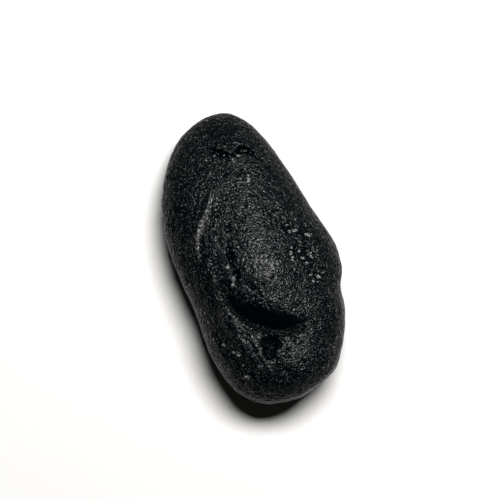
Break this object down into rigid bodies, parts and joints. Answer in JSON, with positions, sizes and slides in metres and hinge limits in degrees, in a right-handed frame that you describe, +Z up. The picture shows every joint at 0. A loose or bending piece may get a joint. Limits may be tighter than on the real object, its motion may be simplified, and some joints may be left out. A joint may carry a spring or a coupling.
{
  "type": "indochinite tektite",
  "caption": "Elongated pebble of natural black glass with a domed, pitted crown, a curved ridge, a crescent gouge, a groove across its narrow end, and a flattened belly to rest on.",
  "frame": {"origin": "middle of the stone's box, on the surface it rests on", "axes": "+Z up from the surface it rests on, +Y along the stone toward its narrower end, +X across it with the gouge's open end to the right"},
  "size_m": [0.031, 0.058, 0.0231],
  "materials": {
    "black_glass": "satin black natural glass with a finely pitted, etched skin, opaque at this thickness"
  },
  "bodies": {
    "root": {"tektite": "black_glass"}
  },
  "joints": []
}
